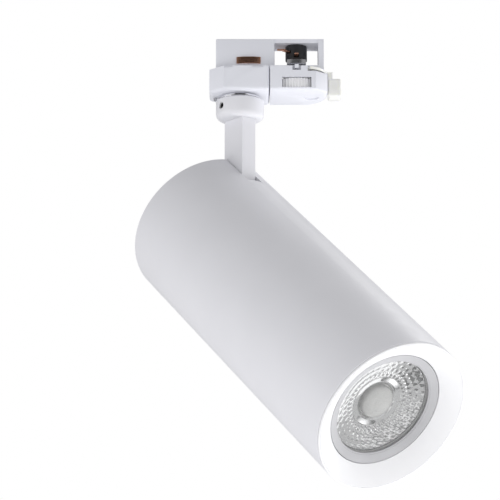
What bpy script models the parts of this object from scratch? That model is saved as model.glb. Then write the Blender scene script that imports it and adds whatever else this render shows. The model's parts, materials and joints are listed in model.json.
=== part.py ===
"""Track spotlight: a cylindrical LED lamp on a swivel and tilt arm, under a three-circuit track adapter.

Units are metres, +Z is up and +X runs along the track towards the adapter's locking lever.
The origin is on the swivel axis, in the plane where the adapter's shoulders meet the track.

Frames, each an empty:
  adapter      fixed to the track
  phase_axis   the phase selector turns about its Z
  lever_axis   the locking lever turns about its Z
  swivel_axis  the arm turns about its Z; its X points the way the lamp faces
  tilt_axis    the lamp tilts about its Y
  lamp         rides on tilt_axis: Z runs along the beam, X points up to the arm's side,
               and its origin is on the tube's axis, level with the tilt axis
"""
import math

import bmesh
import bpy
from mathutils import Matrix, Vector

MM = 0.001
GAP = 0.3 * MM                    # left between pieces that touch

# Flats round a circle
FINE = 72
ROUND = 40
SMALL = 16

# Pose at rest
LAMP_YAW = math.radians(-51.4)    # heading of the beam, from +X
LAMP_TILT = math.radians(39.3)    # beam below the horizontal

# Adapter shells under the track
ADAPTER_WIDTH = 33 * MM
ADAPTER_HEIGHT = 14.5 * MM
ADAPTER_LEFT = -17.8 * MM
END_MARGIN = 1.5 * MM             # how far the round end reaches past half the width, from the pivot
SPLIT_X = 17.1 * MM               # where the left shell ends
SHELL_WALL = 1.5 * MM
SHELL_FILLET = 2 * MM
LEFT_CHAMFER = 8.4 * MM
RIGHT_CHAMFER = 7 * MM
EDGE_NOTCHES = ((-6.9 * MM, 4.6 * MM), (10.2 * MM, 6.2 * MM))    # centre and width along X
EDGE_NOTCH_DEPTH = 1.1 * MM
DIMPLE_X = 41.5 * MM
DIMPLE_RADIUS = 4.2 * MM
DIMPLE_DEPTH = 0.6 * MM

# Mast that goes into the track
MAST_WIDTH = 17.2 * MM
MAST_HEIGHT = 18.8 * MM
MAST_WALL = 1.6 * MM
MAST_LEFT = -14 * MM
MAST_POST = 3.2 * MM              # thickness of the post past the contacts
BASE_PLATE = 1.6 * MM
BASE_FLOOR = 2.6 * MM             # floor of the contact window
SCREW_INSET = 3.9 * MM            # shell screws, from the shell's outer faces
SCREW_RADIUS = 0.8 * MM
SCREW_HEAD_RADIUS = 1.5 * MM
BOSS_RADIUS = 1.9 * MM

# Phase selector
PIVOT_X = 32.8 * MM               # shared axis of the phase selector and the lever
WHEEL_RADIUS = 15.9 * MM
WHEEL_TEETH = 54
WHEEL_TOOTH = 0.7 * MM
WHEEL_TOP = -7 * MM
WHEEL_BOTTOM = -12.7 * MM
WINDOW_WIDTH = 16.8 * MM
POINTER_WIDTH = 2.3 * MM
POINTER_NOTCH = 5 * MM
POINTER_NOTCH_DEPTH = 2.6 * MM
PHASE_SHAFT_RADIUS = 2.8 * MM
DRUM_RADIUS = 6.3 * MM
DRUM_BOTTOM = 7.7 * MM
CONTACT_REACH = 11.2 * MM         # tip of a contact, from the pivot
CONTACT_WIDTH = 2.4 * MM
CONTACT_THICKNESS = 0.8 * MM
PHASE_STEP = math.radians(45)     # turn of the selector from one circuit to the next
PHASE_LEVELS = 3

# Locking lever
FLANGE_MARGIN = 0.4 * MM          # flange's rim past the shell's round end
FLANGE_THICKNESS = 1.6 * MM
FLANGE_ARC = (math.radians(-64), math.radians(30))
FLANGE_SHADOW = 1.3 * MM          # open height under the flange
HUB_RADIUS = 8 * MM
TAB_LENGTH = 7.7 * MM
TAB_WIDTH = 11 * MM
TAB_TOP = -4.4 * MM
TAB_BOTTOM = -15.3 * MM
TAB_NECK = 2.6 * MM
SPINDLE_RADIUS = 5 * MM
WING_REACH = 12.1 * MM
WING_WIDTH = 11 * MM
WING_THICKNESS = 2.5 * MM

# Swivel
NIPPLE_RADIUS = 4.9 * MM
NIPPLE_BORE = 3.5 * MM
NUT_FLATS = 14 * MM
NUT_HEIGHT = 3 * MM
RING_RADIUS = 12.4 * MM
RING_HEIGHT = 2 * MM
COLLAR_RADIUS = 14 * MM
COLLAR_BOTTOM = -28.4 * MM
COLLAR_FILLET = 3.5 * MM
GRUB_Z = -21.7 * MM
GRUB_RADIUS = 1.7 * MM
ARM_WIDTH = 16.4 * MM
ARM_THICKNESS = 9.8 * MM
ARM_EDGE = 0.5 * MM
TENON = 3 * MM                    # how far the arm goes up into the collar
WIRE_BORE = 2.6 * MM

# Tilt hinge
HINGE_Z = -70.4 * MM
AXLE_RADIUS = 2.3 * MM
WASHER_THICKNESS = 0.6 * MM
WASHER_RADIUS = 7.2 * MM
CHEEK_THICKNESS = 2 * MM
CHEEK_RADIUS = 7.4 * MM
BRACKET_DROP = 14.3 * MM          # tilt axis to the bracket's floor
BRACKET_LENGTH = 30 * MM

# Lamp housing
BODY_LENGTH = 211.9 * MM
TUBE_RADIUS = 45 * MM
TUBE_WALL = 2 * MM
HINGE_TO_REAR = 17.1 * MM
HINGE_DEPTH = 11.25 * MM          # tilt axis below the tube's outer face
CAP_THICKNESS = 2 * MM
CAP_INSET = 0.8 * MM
CHASSIS_THICKNESS = 1.6 * MM
DRIVER_HEIGHT = 30 * MM
DRIVER_WALL = 1.2 * MM

# Light engine and front
LIP_HEIGHT = 1.15 * MM            # bezel's lip in front of the tube
LIP_WIDTH = 1.15 * MM
BAFFLE_WIDTH = 10 * MM            # across the sloping white baffle
BAFFLE_DEPTH = 7.15 * MM
BEZEL_WALL = 1.3 * MM
BEZEL_SKIRT = 9 * MM
TRIM_WIDTH = 5 * MM               # grey ring round the optic
TRIM_SLOPE = 2.1 * MM
TRIM_LIP = 0.7 * MM
GLASS_THICKNESS = 1.4 * MM
GLASS_OVERLAP = 2.6 * MM          # glass under the grey ring
REFLECTOR_DEPTH = 4.4 * MM
REFLECTOR_WALL = 0.8 * MM
NECK_RADIUS = 10.5 * MM
DOME_RADIUS = 9.4 * MM
DOME_HEIGHT = 2.5 * MM
LED_BOARD_SIZE = 28 * MM
LED_BOARD_THICKNESS = 1.6 * MM
PAD_THICKNESS = 0.6 * MM
SINK_BASE = 6 * MM
SINK_FINS = 20
SINK_FIN_LENGTH = 52 * MM
SINK_CORE_RADIUS = 13 * MM
FIN_THICKNESS = 2 * MM

# Values that follow from those above
HALF_WIDTH = ADAPTER_WIDTH / 2
SHELL_BOTTOM = -ADAPTER_HEIGHT
SHELL_FLOOR = SHELL_BOTTOM + SHELL_WALL
SHELL_END_RADIUS = HALF_WIDTH + END_MARGIN
ADAPTER_RIGHT = PIVOT_X + SHELL_END_RADIUS
FLANGE_RADIUS = SHELL_END_RADIUS + FLANGE_MARGIN
RING_TOP = SHELL_BOTTOM - GAP
COLLAR_TOP = RING_TOP - RING_HEIGHT - GAP
FLANGE_BOTTOM = -GAP - FLANGE_THICKNESS
HINGE_RISE = TUBE_RADIUS - HINGE_DEPTH
REAR_Z = -HINGE_TO_REAR
RIM_Z = BODY_LENGTH - HINGE_TO_REAR
TUBE_FRONT_Z = RIM_Z - LIP_HEIGHT - GAP
TUBE_BORE = TUBE_RADIUS - TUBE_WALL
SLOT_HALF_WIDTH = ARM_THICKNESS / 2 + 0.4 * MM
SLOT_FRONT_Z = ARM_WIDTH / 2 + 0.5 * MM
CAP_NOTCH_RISE = HINGE_RISE - ARM_WIDTH / 2 - 0.8 * MM
LIP_RADIUS = TUBE_RADIUS - LIP_WIDTH - 0.25 * MM
OPTIC_RADIUS = LIP_RADIUS - BAFFLE_WIDTH
BAFFLE_Z = RIM_Z - BAFFLE_DEPTH
TRIM_RADIUS = OPTIC_RADIUS - GAP
MOUTH_RADIUS = TRIM_RADIUS - TRIM_WIDTH
TRIM_BOTTOM_Z = BAFFLE_Z - TRIM_SLOPE - TRIM_LIP - 0.2 * MM
GLASS_TOP_Z = TRIM_BOTTOM_Z - GAP
GLASS_BOTTOM_Z = GLASS_TOP_Z - GLASS_THICKNESS
MOUTH_Z = GLASS_BOTTOM_Z - GAP
NECK_Z = MOUTH_Z - REFLECTOR_DEPTH
LED_FACE_Z = NECK_Z - 2.6 * MM
LED_BACK_Z = LED_FACE_Z - LED_BOARD_THICKNESS
PAD_BACK_Z = LED_BACK_Z - GAP - PAD_THICKNESS
SINK_FRONT_Z = PAD_BACK_Z - GAP
SINK_PLATE_Z = SINK_FRONT_Z - SINK_BASE
SINK_REAR_Z = SINK_PLATE_Z - SINK_FIN_LENGTH
CAP_FRONT_Z = REAR_Z + CAP_INSET + CAP_THICKNESS
CHASSIS_TOP = HINGE_RISE - BRACKET_DROP - CHEEK_THICKNESS - GAP
CHASSIS_BOTTOM = CHASSIS_TOP - CHASSIS_THICKNESS
CHASSIS_REAR_Z = CAP_FRONT_Z + 1 * MM
CHASSIS_FRONT_Z = SINK_REAR_Z - 2 * MM
DRIVER_REAR_Z = CHASSIS_REAR_Z + 14 * MM
DRIVER_FRONT_Z = CHASSIS_FRONT_Z - 8 * MM
DRIVER_TOP = CHASSIS_BOTTOM - GAP
DRIVER_BOTTOM = DRIVER_TOP - DRIVER_HEIGHT

# name: colour, roughness, metallic
MATERIALS = {
    "housing_white": ((0.86, 0.86, 0.88), 0.45, 0.0),
    "bezel_white": ((0.93, 0.93, 0.94), 0.4, 0.0),
    "arm_white": ((0.84, 0.84, 0.87), 0.42, 0.0),
    "adapter_white": ((0.83, 0.83, 0.86), 0.5, 0.0),
    "lever_plastic": ((0.86, 0.86, 0.84), 0.45, 0.0),
    "knurled_white": ((0.88, 0.88, 0.88), 0.45, 0.0),
    "black_plastic": ((0.03, 0.03, 0.03), 0.55, 0.0),
    "chrome": ((0.8, 0.8, 0.82), 0.08, 1.0),
    "steel": ((0.6, 0.6, 0.62), 0.3, 1.0),
    "brass": ((0.78, 0.58, 0.28), 0.3, 1.0),
    "copper": ((0.85, 0.48, 0.32), 0.3, 1.0),
    "aluminium": ((0.76, 0.77, 0.78), 0.35, 1.0),
    "mirror": ((0.93, 0.93, 0.94), 0.06, 1.0),
    "trim_grey": ((0.42, 0.42, 0.44), 0.4, 0.6),
    "clear_glass": ((0.95, 0.97, 0.98), 0.02, 0.0),
    "led_dome": ((0.62, 0.62, 0.6), 0.3, 0.0),
    "circuit_green": ((0.05, 0.2, 0.1), 0.5, 0.0),
    "ceramic_white": ((0.9, 0.9, 0.88), 0.5, 0.0),
    "rubber": ((0.05, 0.05, 0.05), 0.8, 0.0),
    "silicone": ((0.72, 0.72, 0.71), 0.5, 0.0),
    "wire_red": ((0.6, 0.05, 0.04), 0.5, 0.0),
    "wire_black": ((0.03, 0.03, 0.03), 0.5, 0.0),
    "wire_sheath": ((0.85, 0.85, 0.83), 0.5, 0.0),
    "capacitor_blue": ((0.08, 0.12, 0.3), 0.35, 0.0),
    "winding_yellow": ((0.75, 0.6, 0.1), 0.5, 0.0),
}


# ---------------------------------------------------------------- tools

def clear_scene():
    for obj in list(bpy.data.objects):
        bpy.data.objects.remove(obj, do_unlink=True)


def collection(name):
    found = bpy.data.collections.get(name)
    if found is None:
        found = bpy.data.collections.new(name)
        bpy.context.scene.collection.children.link(found)
    return found


def material(name):
    found = bpy.data.materials.get(name)
    if found is None:
        colour, roughness, metallic = MATERIALS[name]
        found = bpy.data.materials.new(name)
        found.use_nodes = True
        shader = found.node_tree.nodes["Principled BSDF"]
        shader.inputs["Base Color"].default_value = (*colour, 1.0)
        shader.inputs["Roughness"].default_value = roughness
        shader.inputs["Metallic"].default_value = metallic
    return found


def frame_empty(name, parent, location=(0, 0, 0), rotation=None):
    empty = bpy.data.objects.new(name, None)
    empty.empty_display_size = 10 * MM
    empty.location = location
    if rotation is not None:
        empty.rotation_euler = rotation.to_euler()
    empty.parent = parent
    collection("track_spotlight").objects.link(empty)
    return empty


def new_object(name, mesh, frame):
    obj = bpy.data.objects.new(name, mesh)
    obj.parent = frame
    collection("track_spotlight").objects.link(obj)
    return obj


def mesh_from(bm, name):
    mesh = bpy.data.meshes.new(name)
    bm.to_mesh(mesh)
    bm.free()
    return mesh


def finished(obj, material_name):
    obj.data.materials.clear()
    obj.data.materials.append(material(material_name))
    obj.data.shade_smooth()
    obj.data.set_sharp_from_angle(angle=math.radians(35))
    return obj


def box(name, low, high, frame):
    """A block between two opposite corners."""
    bm = bmesh.new()
    bmesh.ops.create_cube(bm, size=1)
    size = [b - a for a, b in zip(low, high)]
    bmesh.ops.scale(bm, vec=size, verts=bm.verts)
    obj = new_object(name, mesh_from(bm, name), frame)
    obj.location = [(a + b) / 2 for a, b in zip(low, high)]
    return obj


def rod(name, radius, start, end, frame, sides=SMALL):
    """A cylinder, or with few sides a hexagon or square bar, from start to end."""
    start, end = Vector(start), Vector(end)
    along = end - start
    bm = bmesh.new()
    bmesh.ops.create_cone(bm, cap_ends=True, segments=sides, radius1=radius, radius2=radius,
                          depth=along.length)
    obj = new_object(name, mesh_from(bm, name), frame)
    obj.location = (start + end) / 2
    obj.rotation_euler = along.to_track_quat("Z", "Y").to_euler()
    return obj


def turned(name, profile, frame, steps=SMALL):
    """Turn (radius, height) points about Z. They run down the outer side and back up the inner one."""
    bm = bmesh.new()
    corners = [bm.verts.new((radius, 0, height)) for radius, height in profile]
    for first, second in zip(corners, corners[1:]):
        bm.edges.new((first, second))
    if profile[0][0] > 0:
        bm.edges.new((corners[-1], corners[0]))
    obj = new_object(name, mesh_from(bm, name), frame)
    screw = obj.modifiers.new("turn", "SCREW")
    screw.steps = steps
    screw.render_steps = steps
    screw.use_merge_vertices = True
    screw.merge_threshold = 0.00001
    return obj


def ring(name, outer, inner, bottom, top, frame, steps=SMALL):
    profile = [(outer, top), (outer, bottom), (inner, bottom), (inner, top)]
    return turned(name, profile, frame, steps)


def as_mesh(curve_obj):
    """Replace a curve object with its mesh, its caps welded on."""
    graph = bpy.context.evaluated_depsgraph_get()
    mesh = bpy.data.meshes.new_from_object(curve_obj.evaluated_get(graph))
    bm = bmesh.new()
    bm.from_mesh(mesh)
    bmesh.ops.remove_doubles(bm, verts=bm.verts, dist=0.000001)
    bm.to_mesh(mesh)
    bm.free()
    name = curve_obj.name
    parent = curve_obj.parent
    place = curve_obj.matrix_basis.copy()
    bpy.data.objects.remove(curve_obj, do_unlink=True)
    obj = new_object(name, mesh, parent)
    obj.matrix_basis = place
    return obj


def plate(name, outline, bottom, top, frame, holes=()):
    """A flat outline in X and Y, with a thickness from bottom to top."""
    curve = bpy.data.curves.new(name, "CURVE")
    curve.dimensions = "2D"
    curve.fill_mode = "BOTH"
    curve.extrude = (top - bottom) / 2
    for loop in (outline, *holes):
        spline = curve.splines.new("POLY")
        spline.points.add(len(loop) - 1)
        for point, (x, y) in zip(spline.points, loop):
            point.co = (x, y, 0, 1)
        spline.use_cyclic_u = True
    obj = new_object(name, curve, frame)
    obj.location = (0, 0, (bottom + top) / 2)
    bpy.context.view_layer.update()
    return as_mesh(obj)


def wire(name, points, radius, frame):
    """A round wire through the points, on a smooth curve between them."""
    curve = bpy.data.curves.new(name, "CURVE")
    curve.dimensions = "3D"
    curve.bevel_depth = radius
    curve.bevel_resolution = 2
    curve.use_fill_caps = True
    path = smooth_path([Vector(point) for point in points], 3)
    spline = curve.splines.new("POLY")
    spline.points.add(len(path) - 1)
    for point, place in zip(spline.points, path):
        point.co = (*place, 1)
    return new_object(name, curve, frame)


def smooth_path(points, steps):
    """A Catmull-Rom curve through the points."""
    padded = [points[0], *points, points[-1]]
    path = []
    for before, start, end, after in zip(padded, padded[1:], padded[2:], padded[3:]):
        for step in range(steps):
            t = step / steps
            linear = (end - before) * t
            square = (before * 2 - start * 5 + end * 4 - after) * t ** 2
            cube = (start * 3 - before - end * 3 + after) * t ** 3
            path.append((start * 2 + linear + square + cube) / 2)
    return path + [points[-1]]


def arc(centre, radius, first, last, steps):
    """Points on a circle from one angle to another, both included."""
    angles = [first + (last - first) * step / steps for step in range(steps + 1)]
    return [(centre[0] + radius * math.cos(angle),
             centre[1] + radius * math.sin(angle)) for angle in angles]


def bevelled(obj, width, segments=2, angle=40):
    bevel = obj.modifiers.new("edge", "BEVEL")
    bevel.width = width
    bevel.segments = segments
    bevel.limit_method = "ANGLE"
    bevel.angle_limit = math.radians(angle)
    return obj


def as_tool(tool):
    """Move an object to the cutters, which are not part of the spotlight."""
    collection("track_spotlight").objects.unlink(tool)
    collection("cutters").objects.link(tool)
    tool.hide_render = True
    tool.display_type = "WIRE"


def boolean(obj, tool, operation):
    step = obj.modifiers.new(tool.name, "BOOLEAN")
    step.operation = operation
    step.solver = "EXACT"
    step.object = tool
    as_tool(tool)
    return obj


def cut(obj, tool):
    return boolean(obj, tool, "DIFFERENCE")


def join(obj, tool):
    return boolean(obj, tool, "UNION")


def use_manifold_solver(obj):
    """For a shape whose long thin facets the exact solver leaves open."""
    for step in obj.modifiers:
        if step.type == "BOOLEAN":
            step.solver = "MANIFOLD"


def tray(name, outline, bottom, top, wall, fillet, frame):
    """A thin-walled tray, open at the top."""
    bm = bmesh.new()
    low = [bm.verts.new((x, y, bottom)) for x, y in outline]
    high = [bm.verts.new((x, y, top)) for x, y in outline]
    bm.faces.new(list(reversed(low)))
    for index in range(len(outline)):
        following = (index + 1) % len(outline)
        bm.faces.new((low[index], low[following], high[following], high[index]))
    obj = new_object(name, mesh_from(bm, name), frame)
    bevelled(obj, fillet, 3, 60)
    shell = obj.modifiers.new("wall", "SOLIDIFY")
    shell.thickness = wall
    shell.offset = -1
    shell.use_even_offset = True
    return obj


# ---------------------------------------------------------------- adapter

def left_outline():
    corner = HALF_WIDTH - LEFT_CHAMFER
    shoulder = ADAPTER_LEFT + LEFT_CHAMFER
    return [(ADAPTER_LEFT, corner), (ADAPTER_LEFT, -corner), (shoulder, -HALF_WIDTH),
            (SPLIT_X, -HALF_WIDTH), (SPLIT_X, HALF_WIDTH), (shoulder, HALF_WIDTH)]


def right_outline():
    """Reaches past the split, where it is cut off. The far end is round, so that the lever clears it."""
    far_angle = math.asin(HALF_WIDTH / SHELL_END_RADIUS)
    start = SPLIT_X - 3 * SHELL_WALL
    near = [(start, -HALF_WIDTH), (ADAPTER_RIGHT - RIGHT_CHAMFER, -HALF_WIDTH),
            (ADAPTER_RIGHT, -HALF_WIDTH + RIGHT_CHAMFER)]
    return near + arc((PIVOT_X, 0), SHELL_END_RADIUS, 0, far_angle, 8) + [(start, HALF_WIDTH)]


def screw_places():
    """Shell screws: two in the left shell and two in the right one."""
    across = HALF_WIDTH - SCREW_INSET
    left = ADAPTER_LEFT + LEFT_CHAMFER - 1.5 * MM
    right = SPLIT_X + GAP + BOSS_RADIUS + 0.2 * MM
    return {"left_front": (left, -across + 2 * MM), "left_rear": (left, across - 2 * MM),
            "right_front": (right, -across), "right_rear": (right, across)}


def add_boss(shell, place, frame):
    """A screw post on the shell's floor, with its pilot hole."""
    x, y = place
    name = shell.name + "_boss"
    top = -BASE_PLATE - GAP
    join(shell, rod(name, BOSS_RADIUS, (x, y, SHELL_FLOOR - 0.4 * MM), (x, y, top), frame, SMALL))
    cut(shell, rod(name + "_hole", SCREW_RADIUS + GAP, (x, y, -9.4 * MM), (x, y, 1 * MM), frame, SMALL))


def adapter_shell_left(frame):
    shell = tray("adapter_shell_left", left_outline(), SHELL_BOTTOM, 0, SHELL_WALL, SHELL_FILLET, frame)
    places = screw_places()
    add_boss(shell, places["left_front"], frame)
    add_boss(shell, places["left_rear"], frame)
    cut(shell, rod("nipple_hole", NIPPLE_RADIUS + GAP, (0, 0, SHELL_BOTTOM - 1 * MM),
                   (0, 0, SHELL_FLOOR + 1 * MM),
                   frame, 24))
    for number, (centre, width) in enumerate(EDGE_NOTCHES):
        cut(shell, box(f"edge_notch_{number}", (centre - width / 2, -HALF_WIDTH - 1 * MM,
                                                -EDGE_NOTCH_DEPTH),
                       (centre + width / 2, -HALF_WIDTH + 0.9 * MM, 1 * MM), frame))
    across = HALF_WIDTH - SHELL_WALL - GAP / 2
    cut(shell, box("base_plate_way", (SPLIT_X - SHELL_WALL - 1 * MM, -across, -BASE_PLATE - GAP),
                   (SPLIT_X + 1 * MM, across, 1 * MM), frame))
    relief = WHEEL_RADIUS * 0.45
    cut(shell, box("wheel_relief", (SPLIT_X - SHELL_WALL - 1 * MM, -relief, WHEEL_BOTTOM - GAP),
                   (SPLIT_X + 1 * MM, relief, WHEEL_TOP + GAP), frame))
    use_manifold_solver(shell)
    return finished(shell, "adapter_white")


def adapter_shell_right(frame):
    shell = tray("adapter_shell_right", right_outline(), SHELL_BOTTOM, 0, SHELL_WALL, SHELL_FILLET, frame)
    cut(shell, box("split", (SPLIT_X - 9 * SHELL_WALL, -HALF_WIDTH - 1 * MM, SHELL_BOTTOM - 1 * MM),
                   (SPLIT_X + GAP, HALF_WIDTH + 1 * MM, 1 * MM), frame))
    places = screw_places()
    add_boss(shell, places["right_front"], frame)
    add_boss(shell, places["right_rear"], frame)
    low = WHEEL_BOTTOM - GAP + 0.1 * MM
    cut(shell, box("wheel_window", (PIVOT_X - WINDOW_WIDTH / 2, -HALF_WIDTH - 1 * MM, low),
                   (PIVOT_X + WINDOW_WIDTH / 2, HALF_WIDTH + 1 * MM, WHEEL_TOP + GAP), frame))
    cut(shell, box("pointer_notch", (PIVOT_X - POINTER_NOTCH / 2, -HALF_WIDTH - 1 * MM,
                                     -POINTER_NOTCH_DEPTH),
                   (PIVOT_X + POINTER_NOTCH / 2, -HALF_WIDTH + 3 * MM, 1 * MM), frame))
    sweep = FLANGE_BOTTOM - FLANGE_SHADOW
    near_start = PIVOT_X + math.sqrt(FLANGE_RADIUS ** 2 - HALF_WIDTH ** 2) - 1.8 * MM
    cut(shell, box("flange_way_near", (near_start, -HALF_WIDTH - 1 * MM, sweep),
                   (ADAPTER_RIGHT + 1 * MM, 4 * MM, 1 * MM), frame))
    far_start = PIVOT_X - FLANGE_RADIUS * math.sin(FLANGE_ARC[1]) - 1 * MM
    cut(shell, box("flange_way_far", (far_start, 3 * MM, sweep),
                   (ADAPTER_RIGHT + 1 * MM, HALF_WIDTH + 1 * MM, 1 * MM), frame))
    cut(shell, rod("dimple", DIMPLE_RADIUS, (DIMPLE_X, 0, SHELL_BOTTOM - 1 * MM),
                   (DIMPLE_X, 0, SHELL_BOTTOM + DIMPLE_DEPTH), frame, 24))
    use_manifold_solver(shell)
    return finished(shell, "adapter_white")


def track_mast(frame):
    """The base plate that closes the shells, and the mast that stands in the track."""
    window_left = PIVOT_X - WING_REACH - 0.6 * MM
    window_right = PIVOT_X + WING_REACH + 0.6 * MM
    mast_right = window_right + MAST_POST
    half = MAST_WIDTH / 2
    places = screw_places()
    edge = HALF_WIDTH - SHELL_WALL - GAP
    ear = places["right_front"][0] + BOSS_RADIUS
    left = ADAPTER_LEFT + SHELL_WALL + GAP
    inset = LEFT_CHAMFER * 0.9
    outline = [(left, edge - inset), (left, -edge + inset), (left + inset, -edge), (ear, -edge),
               (ear, edge), (left + inset, edge)]
    mast = plate("track_mast", outline, -BASE_PLATE, 0, frame)
    join(mast, bevelled(box("mast_block", (MAST_LEFT, -half, -0.8 * MM), (window_left, half, MAST_HEIGHT),
                            frame),
                        0.8 * MM))
    cut(mast, rod("hub_clearance", HUB_RADIUS + 1 * MM, (PIVOT_X, 0, -BASE_PLATE - 1 * MM), (PIVOT_X, 0, 0),
                  frame, 24))
    start = window_left - 2 * MM
    join(mast, box("mast_floor", (start, -half, 0), (mast_right, half, BASE_FLOOR), frame))
    join(mast, box("mast_bridge", (start, -half + 0.8 * MM, MAST_HEIGHT - 2.4 * MM),
                   (mast_right, half - 0.8 * MM, MAST_HEIGHT), frame))
    join(mast, box("mast_post", (window_right, -half, 0.1 * MM), (mast_right, half, MAST_HEIGHT - 0.8 * MM),
                   frame))
    half_pointer = POINTER_WIDTH / 2
    join(mast, box("phase_pointer", (PIVOT_X - half_pointer, -HALF_WIDTH + 0.2 * MM, -1.3 * MM),
                   (PIVOT_X + half_pointer, -half + 0.2 * MM, 0.9 * MM), frame))
    cavity_top = MAST_HEIGHT - MAST_WALL
    cut(mast, box("mast_cavity", (MAST_LEFT + MAST_WALL, -half + MAST_WALL, -BASE_PLATE - 1 * MM),
                  (window_left - MAST_WALL, half - MAST_WALL, cavity_top), frame))
    cut(mast, rod("spindle_hole", SPINDLE_RADIUS + GAP, (PIVOT_X, 0, -2 * MM),
                  (PIVOT_X, 0, BASE_FLOOR + 1 * MM),
                  frame, 24))
    cut(mast, rod("pin_hole", 1.9 * MM + GAP, (PIVOT_X, 0, MAST_HEIGHT - 3 * MM),
                  (PIVOT_X, 0, MAST_HEIGHT + 1 * MM), frame, 24))
    for name, (x, y) in places.items():
        cut(mast, rod("screw_hole_" + name, SCREW_RADIUS + GAP, (x, y, -BASE_PLATE - 1 * MM),
                      (x, y, 1 * MM),
                      frame, SMALL))
        cut(mast, rod("screw_seat_" + name, SCREW_HEAD_RADIUS + GAP, (x, y, -0.9 * MM), (x, y, 1 * MM),
                      frame, SMALL))
    return finished(mast, "adapter_white")


def shell_screws(frame):
    for name, (x, y) in screw_places().items():
        head = -0.9 * MM + GAP
        profile = [(0, -0.1 * MM), (SCREW_HEAD_RADIUS, -0.1 * MM), (SCREW_HEAD_RADIUS, head),
                   (SCREW_RADIUS, head), (SCREW_RADIUS, -9 * MM), (0, -9 * MM)]
        screw = turned("shell_screw_" + name, profile, frame, SMALL)
        screw.location = (x, y, 0)
        finished(screw, "steel")


def earth_springs(frame):
    """A bowed strip on each side of the mast, which presses on the track's wall."""
    face = MAST_WIDTH / 2 + GAP
    start, end = -2 * MM, 12 * MM
    middle = (start + end) / 2
    for side, name in ((-1, "front"), (1, "rear")):
        outer = [(start, side * (face + 0.5 * MM)), (middle - 3 * MM, side * (face + 1.5 * MM)),
                 (middle + 3 * MM, side * (face + 1.5 * MM)), (end, side * (face + 0.5 * MM))]
        inner = [(x, y - side * 0.5 * MM) for x, y in reversed(outer)]
        outline = outer + inner
        finished(plate("earth_spring_" + name, outline, 3.4 * MM, 7.4 * MM, frame), "copper")


def terminals(frame):
    block = box("terminal_block", (-10 * MM, -5.5 * MM, 2 * MM), (12 * MM, 5.5 * MM, 10 * MM), frame)
    for number in range(3):
        x = (-6 + 7 * number) * MM
        cut(block, rod(f"terminal_hole_{number}", 1.9 * MM, (x, 0, 1 * MM), (x, 0, 5 * MM), frame, SMALL))
        screw = rod(f"terminal_screw_{number + 1}", 1.5 * MM, (x, 0, 2.2 * MM), (x, 0, 4.6 * MM), frame,
                    SMALL)
        finished(screw, "brass")
    finished(block, "ceramic_white")


def nipple_and_nut(frame):
    bottom = COLLAR_TOP - 7.6 * MM
    top = SHELL_FLOOR + GAP + NUT_HEIGHT + 1.5 * MM
    finished(ring("nipple", NIPPLE_RADIUS, NIPPLE_BORE, bottom, top, frame, 24), "steel")
    low = SHELL_FLOOR + GAP
    nut = rod("nipple_nut", NUT_FLATS / math.sqrt(3), (0, 0, low), (0, 0, low + NUT_HEIGHT), frame, 6)
    cut(nut, rod("nut_hole", NIPPLE_RADIUS + GAP, (0, 0, low - 1 * MM), (0, 0, low + NUT_HEIGHT + 1 * MM),
                 frame, 24))
    finished(nut, "steel")


def swivel_ring(frame):
    profile = [(RING_RADIUS - 0.4 * MM, RING_TOP), (RING_RADIUS, RING_TOP - 0.4 * MM),
               (RING_RADIUS, RING_TOP - RING_HEIGHT + 0.4 * MM),
               (RING_RADIUS - 0.4 * MM, RING_TOP - RING_HEIGHT),
               (NIPPLE_RADIUS + GAP, RING_TOP - RING_HEIGHT), (NIPPLE_RADIUS + GAP, RING_TOP)]
    finished(turned("swivel_ring", profile, frame, ROUND), "chrome")


def swivel_stop(frame):
    x = -COLLAR_RADIUS - 0.5 * MM
    stop = rod("swivel_stop", 0.85 * MM, (x, 0, SHELL_BOTTOM - 2 * MM), (x, 0, RING_TOP), frame, SMALL)
    finished(stop, "steel")


# ---------------------------------------------------------------- phase selector

def phase_wheel(frame):
    pitch = 2 * math.pi / WHEEL_TEETH
    outline = []
    for tooth in range(WHEEL_TEETH):
        for share, radius in ((0, WHEEL_RADIUS - WHEEL_TOOTH), (0.5, WHEEL_RADIUS)):
            angle = (tooth + share) * pitch
            outline.append((radius * math.cos(angle), radius * math.sin(angle)))
    wheel = plate("phase_wheel", outline, WHEEL_BOTTOM, WHEEL_TOP, frame)
    join(wheel, rod("phase_shaft", PHASE_SHAFT_RADIUS, (0, 0, WHEEL_TOP - 1 * MM),
                    (0, 0, DRUM_BOTTOM - GAP),
                    frame, 24))
    finished(wheel, "knurled_white")


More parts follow.
